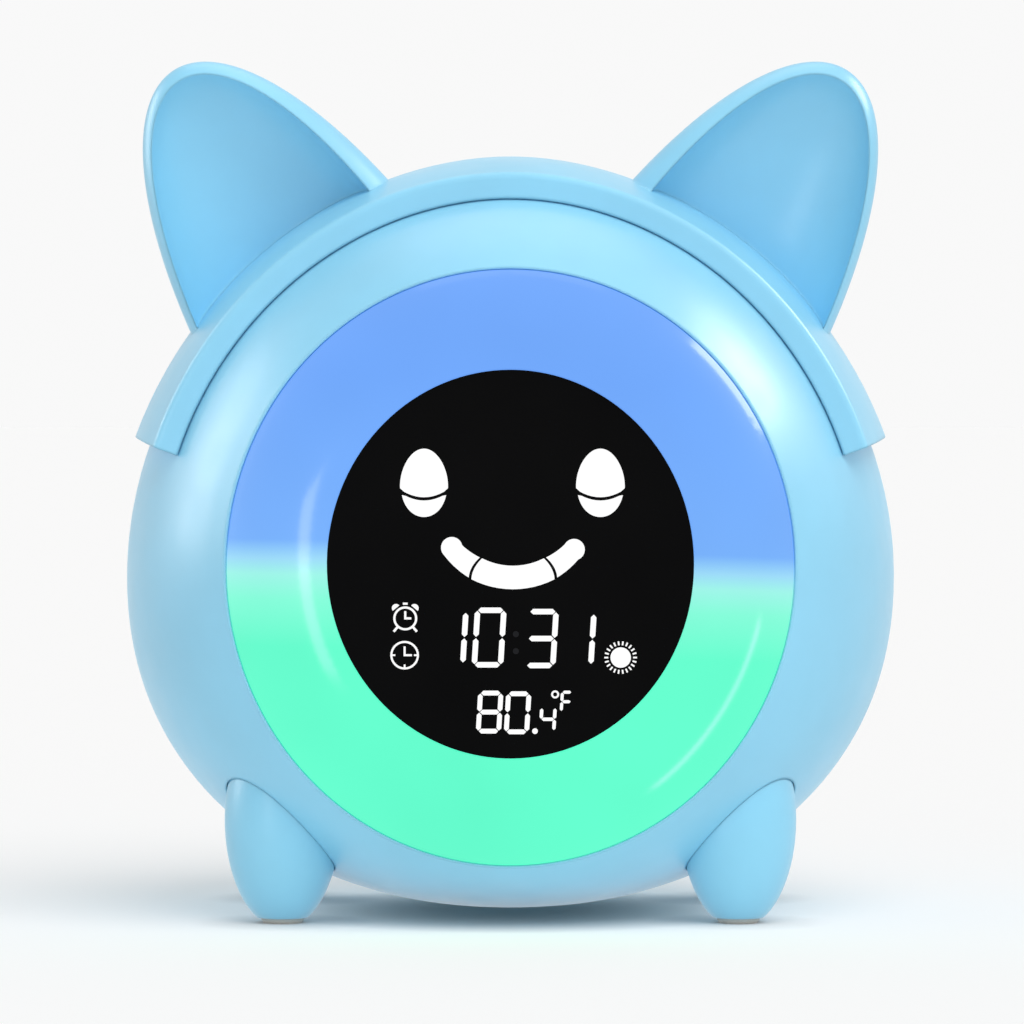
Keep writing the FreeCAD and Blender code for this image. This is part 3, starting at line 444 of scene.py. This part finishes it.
def segment(start, end, width, trim):
    """One hexagonal bar of a numeral between two corners, a little short of both."""
    a, b = Vector(start), Vector(end)
    along = (b - a).normalized()
    across = Vector((-along.y, along.x)) * width / 2
    a, b = a + along * trim, b - along * trim
    tip = along * width / 2
    corners = (a, a + tip - across, b - tip - across, b, b - tip + across, a + tip + across)
    return [tuple(corner) for corner in corners]


# Which bars each sign lights
SEGMENTS = {"0": "abcdef", "1": "bc", "3": "abcdg", "4": "bcfg", "8": "abcdefg", "F": "aefg"}
SLANT = 0.06
BAR_TRIM = 0.12


def numeral(sign_name, left, right, low, high, width):
    """A seven-bar numeral in a box, leaning slightly to the right."""
    half = width / 2
    middle = (low + high) / 2

    def corner(x, z):
        return (x + (z - middle) * SLANT, z)

    x0, x1, z0, z1 = left + half, right - half, low + half, high - half
    ends = {"a": ((x0, z1), (x1, z1)), "b": ((x1, middle), (x1, z1)), "c": ((x1, z0), (x1, middle)),
            "d": ((x0, z0), (x1, z0)), "e": ((x0, z0), (x0, middle)), "f": ((x0, middle), (x0, z1)),
            "g": ((x0, middle), (x1, middle))}
    return [segment(corner(*ends[bar][0]), corner(*ends[bar][1]), width, BAR_TRIM * width)
            for bar in SEGMENTS[sign_name]]


# The time's numerals: sign, left, right, low and high edge in mm
TIME = (("1", -11.0, -6.35, 39.75, 48.0), ("0", -5.45, -0.8, 39.5, 48.3),
        ("3", 2.2, 6.85, 39.4, 48.1), ("1", 7.7, 12.4, 39.55, 47.75))
TIME_BAR = 0.8
COLON = ((0.8, 44.4), (0.8, 41.9))
COLON_RADIUS = 0.45
DEGREES_BAR = 0.7
EYE_HALF_HEIGHT = 5.0
CLOCK_ICON = (-15.5, 41.3)
CLOCK_ICON_RADIUS = 1.95
ALARM_ICON = (-15.4, 46.7)
SUN_ICON = (16.15, 40.95)
SUN_RAYS = 22


def temperature():
    """Two large numerals, a point, a small numeral, a degree ring and a small letter."""
    plates = numeral("8", -4.9, -1.2, 29.8, 36.1, DEGREES_BAR)
    plates += numeral("0", -0.8, 2.9, 29.7, 36.0, DEGREES_BAR)
    plates += disc((3.6, 30.15), 0.42)
    plates += numeral("4", 4.25, 6.7, 30.0, 33.8, 0.5)
    plates += ring((6.55, 35.55), 0.45, 0.28, 20)
    plates += numeral("F", 7.3, 9.1, 32.85, 36.1, 0.45)
    return plates


def display_signs():
    """The sleepy face, the time, the icons and the temperature."""
    sign("face_left_eye", eye((-12.65, 66.55), 3.5, EYE_HALF_HEIGHT), LIT)
    sign("face_right_eye", eye((13.17, 66.55), 3.55, EYE_HALF_HEIGHT), LIT)
    sign("face_smile", smile(), LIT)
    sign("time_numerals", [bar for box in TIME for bar in numeral(*box, TIME_BAR)], LIT)
    sign("time_colon", [dot for place in COLON for dot in disc(place, COLON_RADIUS)], DIM)
    sign("temperature_numerals", temperature(), LIT)
    clock = clock_icon(CLOCK_ICON, CLOCK_ICON_RADIUS, 0.3)
    sign("clock_icon", clock + clock_ticks(CLOCK_ICON, CLOCK_ICON_RADIUS, 0.26), LIT)
    sign("alarm_icon", alarm_icon(ALARM_ICON, 1.0), LIT)
    sign("sun_icon", sun_icon(SUN_ICON, 1.0, SUN_RAYS), LIT)


def clock_icon(centre, radius, width):
    """A ring with two hands."""
    x, z = centre
    plates = ring(centre, radius, width)
    plates += stroke([(x, z - width / 2), (x, z + radius * 0.66)], width)
    plates += stroke([(x, z), (x + radius * 0.55, z)], width)
    return plates


def clock_ticks(centre, radius, width):
    """Short marks inside a clock's ring, at its right, bottom and left."""
    x, z = centre
    plates = []
    for across, up in ((1, 0), (0, -1), (-1, 0)):
        plates += stroke([(x + across * radius * 0.7, z + up * radius * 0.7),
                          (x + across * radius * 0.95, z + up * radius * 0.95)], width)
    return plates


def alarm_icon(centre, scale):
    """A clock with two bells, a knob and two feet."""
    x, z = centre
    plates = clock_icon(centre, 1.6 * scale, 0.32 * scale)
    top = z + 2.15 * scale
    plates += stroke([(x - 0.35 * scale, top), (x + 0.35 * scale, top)], 0.32 * scale)
    for side in (-1, 1):
        tilt = 90 - side * 40
        bell = (x + side * 1.35 * scale, z + 1.5 * scale)
        plates.append(arc(bell, 0.62 * scale, tilt - 90, tilt + 90, 12))
        plates += stroke([(x + side * 1.15 * scale, z - 1.3 * scale),
                          (x + side * 1.7 * scale, z - 1.95 * scale)], 0.35 * scale)
    return plates


def sun_icon(centre, scale, rays):
    """A disc with short rays."""
    plates = disc(centre, 1.5 * scale, 32)
    for step in range(rays):
        turn = 2 * math.pi * step / rays
        way = (math.cos(turn), math.sin(turn))
        plates += stroke([(centre[0] + reach * scale * way[0], centre[1] + reach * scale * way[1])
                          for reach in (1.82, 2.4)], 5.3 / rays * scale)
    return plates


def button_prints():
    """Small printed icons on the back's six buttons."""
    half, bar, wave = 1.1, 0.42, 0.26
    minus = stroke([(-half, 0), (half, 0)], bar)
    plus = stroke([(-half, 0), (-bar / 2, 0)], bar) + stroke([(bar / 2, 0), (half, 0)], bar)
    plus += stroke([(0, -half), (0, half)], bar)
    horn = [[(-1.5, -0.4), (-0.9, -0.4), (-0.1, -1.1), (-0.1, 1.1), (-0.9, 0.4), (-1.5, 0.4)]]
    horn += stroke(arc((-0.1, 0), 0.8, -45, 45, 10), wave)
    horn += stroke(arc((-0.1, 0), 1.5, -45, 45, 12), wave)
    icons = {"light": sun_icon((0, 0), 0.62, 8), "sound": horn, "down": minus, "up": plus,
             "alarm": alarm_icon((0, -0.1), 0.85), "set": clock_icon((0, 0), 1.4, 0.28)}
    for name, outlines in icons.items():
        node = "button_" + name
        sign(node + "_print", outlines, PRINT, name + "_key", on_button(node),
             PRINT_PROUD)


# Stage, lamps and camera


def light(name, kind, place, energy, **settings):
    """A light that looks at the middle of the clock."""
    data = bpy.data.lights.new(name, kind)
    data.energy = energy
    for key, value in settings.items():
        setattr(data, key, value)
    item = bpy.data.objects.new(name, data)
    bpy.context.collection.objects.link(item)
    item.location = place
    item.rotation_euler = (CLOCK_MIDDLE - Vector(place)).to_track_quat("-Z", "Y").to_euler()
    item.visible_glossy = kind == "AREA"
    return item


def softbox(name, azimuth, elevation, width, height, radiance, roll=0.0):
    """A panel that only glossy surfaces see; azimuth is measured from the face's direction."""
    turn, rise = math.radians(azimuth), math.radians(elevation)
    way = Vector((math.sin(turn) * math.cos(rise), -math.cos(turn) * math.cos(rise), math.sin(rise)))
    energy = radiance * math.pi * width * height
    panel = light(name, "AREA", CLOCK_MIDDLE + way * PANEL_DISTANCE, energy,
                  shape="RECTANGLE", size=width, size_y=height)
    panel.rotation_euler.rotate_axis("Z", math.radians(roll))
    panel.visible_diffuse = False


def stage():
    """A pale floor whose glow is darkened by ambient occlusion near the clock, a painted shadow, under a
    sky that the camera, gloss and glass see as white.
    """
    mesh = bpy.data.meshes.new("floor")
    corners = [(x * FLOOR_REACH, y * FLOOR_REACH, 0) for x, y in ((-1, -1), (1, -1), (1, 1), (-1, 1))]
    mesh.from_pydata(corners, [], [(0, 1, 2, 3)])
    nodes = Nodes("floor_pale_painted_shadow")
    paper = nodes.principled(Base_Color=(0.655, 0.625, 0.61, 1), Roughness=0.9,
                             Specular_IOR_Level=0.0, Emission_Color=(0.885, 0.965, 1.0, 1))
    # Painted shadow: ambient occlusion scales the floor's glow, so the floor darkens under and close to
    # the clock.
    painted_shadow_ao = nodes.add("ShaderNodeAmbientOcclusion", samples=8)
    painted_shadow_ao.inputs["Distance"].default_value = PAINTED_SHADOW_REACH
    glow = nodes.map_range(painted_shadow_ao.outputs["AO"], 0.0, 1.0, 0.0, FLOOR_GLOW)
    nodes.link(glow, paper.inputs["Emission Strength"])
    mesh.materials.append(nodes.material)
    floor = bpy.data.objects.new("floor", mesh)
    bpy.context.collection.objects.link(floor)
    floor.visible_glossy = False

    world = bpy.data.worlds.new("studio")
    bpy.context.scene.world = world
    world.use_nodes = True
    tree = world.node_tree
    tree.nodes.clear()
    output = tree.nodes.new("ShaderNodeOutputWorld")
    sky = tree.nodes.new("ShaderNodeBackground")
    sky.inputs["Color"].default_value = (SKY_GREY, SKY_GREY, SKY_GREY, 1)
    white = tree.nodes.new("ShaderNodeBackground")
    white.inputs["Color"].default_value = (FLOOR_WHITE, FLOOR_WHITE, FLOOR_WHITE, 1)
    path = tree.nodes.new("ShaderNodeLightPath")
    seen = path.outputs["Is Camera Ray"]
    for ray in ("Is Glossy Ray", "Is Transmission Ray"):
        either = tree.nodes.new("ShaderNodeMath")
        either.operation = "MAXIMUM"
        tree.links.new(seen, either.inputs[0])
        tree.links.new(path.outputs[ray], either.inputs[1])
        seen = either.outputs[0]
    mix = tree.nodes.new("ShaderNodeMixShader")
    tree.links.new(seen, mix.inputs[0])
    tree.links.new(sky.outputs[0], mix.inputs[1])
    tree.links.new(white.outputs[0], mix.inputs[2])
    tree.links.new(mix.outputs[0], output.inputs[0])


def lights():
    """A broad sun from the upper right, a low fill, and panels for the gloss on the case and the ring."""
    light("sun_high", "SUN", (0.5, -0.9, 1.6), 1.6, angle=math.radians(50))
    light("sun_low", "SUN", (0.1, -1.0, 0.3), 0.4, angle=math.radians(60))
    softbox("panel_over", 180, 78, 0.7, 0.5, 1.4)
    softbox("panel_right", 95, 36, 0.24, 0.36, 17.0)
    softbox("panel_left", -104, 18, 0.3, 0.5, 6.0)
    softbox("panel_front_left", -27, -3, 0.12, 0.38, 8.0, 15)
    softbox("panel_low_right", 57, -30, 0.05, 0.62, 13.0, -20)


def camera():
    """The fitted camera looks along +Y and dips until the horizon is in its row."""
    data = bpy.data.cameras.new("camera")
    data.sensor_width = SENSOR
    data.lens = SENSOR * FOCAL_PIXELS / FRAME_PIXELS
    data.clip_start = CLIP_START
    item = bpy.data.objects.new("camera", data)
    bpy.context.collection.objects.link(item)
    dip = math.atan((FRAME_PIXELS / 2 - HORIZON_ROW) / FOCAL_PIXELS)
    item.location = (CAMERA_SIDE, -CAMERA_DISTANCE, CAMERA_HEIGHT)
    item.rotation_euler = (math.pi / 2 - dip, 0, 0)
    bpy.context.scene.camera = item


dress_nodes()
display_signs()
button_prints()
stage()
lights()
camera()
bpy.context.scene.view_settings.view_transform = "Standard"
